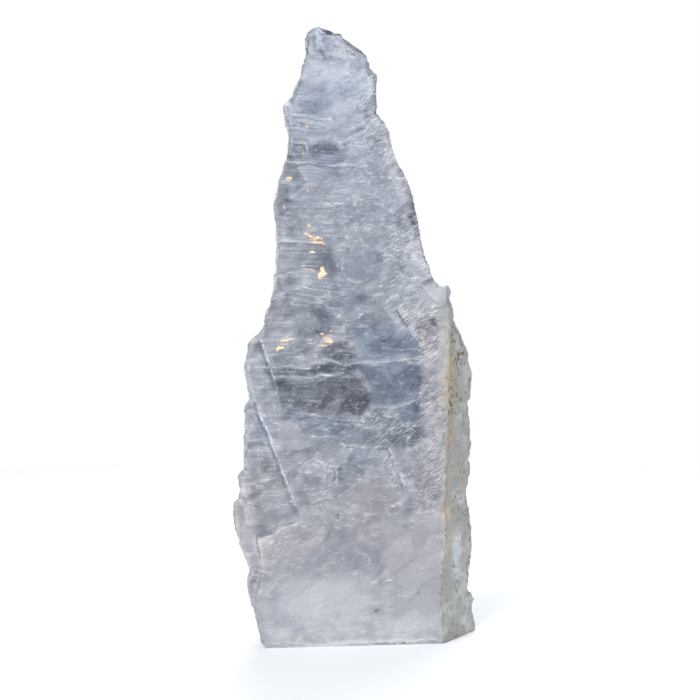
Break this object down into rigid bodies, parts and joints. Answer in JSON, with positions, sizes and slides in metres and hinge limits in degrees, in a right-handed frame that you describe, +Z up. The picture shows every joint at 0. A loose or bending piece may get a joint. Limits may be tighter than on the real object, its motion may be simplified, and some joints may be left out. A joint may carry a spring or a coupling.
{
  "type": "selenite slab",
  "caption": "Tall slab of clear, bluish selenite that tapers to a broken tip and stands on its flat sawn foot.",
  "frame": {"origin": "middle of the flat sawn foot", "axes": "+X to the right along the broad front face, +Y back through the slab's thickness, +Z up to the tip"},
  "size_m": [0.1242, 0.034, 0.298],
  "materials": {
    "selenite": "satin"
  },
  "bodies": {
    "root": {"selenite_slab": "selenite"}
  },
  "joints": []
}
